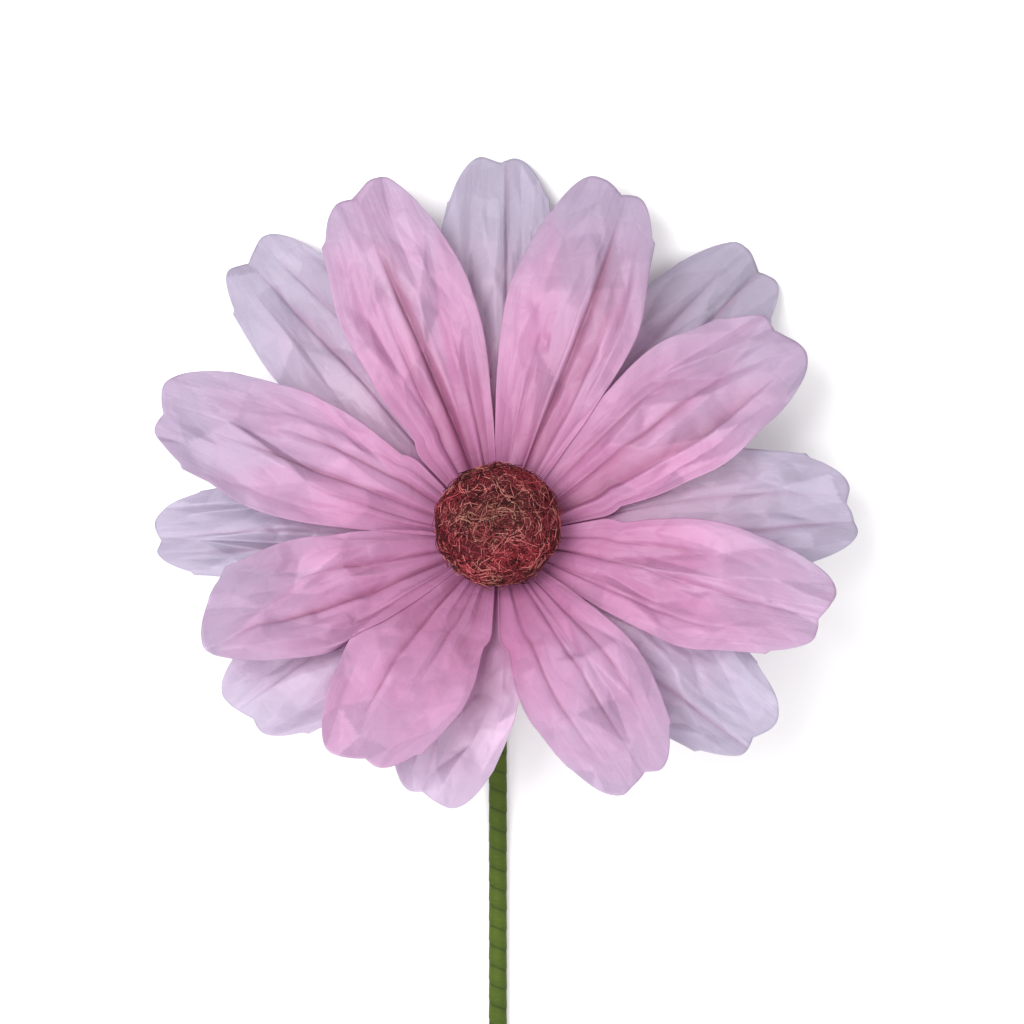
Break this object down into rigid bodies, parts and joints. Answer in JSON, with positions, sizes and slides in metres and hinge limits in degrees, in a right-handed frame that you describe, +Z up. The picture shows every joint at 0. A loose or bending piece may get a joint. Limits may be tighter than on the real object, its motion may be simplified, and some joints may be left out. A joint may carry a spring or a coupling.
{
  "type": "paper gerbera flower",
  "caption": "Large display gerbera of gathered, lobed pink paper petals in layers round a dark curled-fibre ball, on a long tape-wrapped wire stem, lying face up.",
  "frame": {"origin": "middle of the whole flower's footprint, on the surface it lies on", "axes": "+Z up, out of the flower's face; +Y along the stem towards the head; +X to the right, seen from above with the head at the top"},
  "size_m": [0.3954, 0.762, 0.1546],
  "materials": {
    "front_paper": "matte",
    "back_paper": "matte",
    "fibre": "matte",
    "core": "matte",
    "tape": "matte",
    "sleeve": "matte",
    "wire": "satin"
  },
  "bodies": {
    "root": {"front_petal_1": "front_paper", "front_petal_2": "front_paper", "front_petal_3": "front_paper", "front_petal_4": "front_paper", "front_petal_5": "front_paper", "front_petal_6": "front_paper", "front_petal_7": "front_paper", "front_petal_8": "front_paper", "back_petal_1": "back_paper", "back_petal_2": "back_paper", "back_petal_3": "back_paper", "back_petal_4": "back_paper", "back_petal_5": "back_paper", "back_petal_6": "back_paper", "back_petal_7": "back_paper", "back_petal_8": "back_paper", "ball_fibre": "fibre", "ball_core": "core", "binding_wire": "wire", "calyx_wrap": "tape", "stem_tape": "tape", "stem_sleeve": "sleeve", "stem_wire": "wire"}
  },
  "joints": []
}
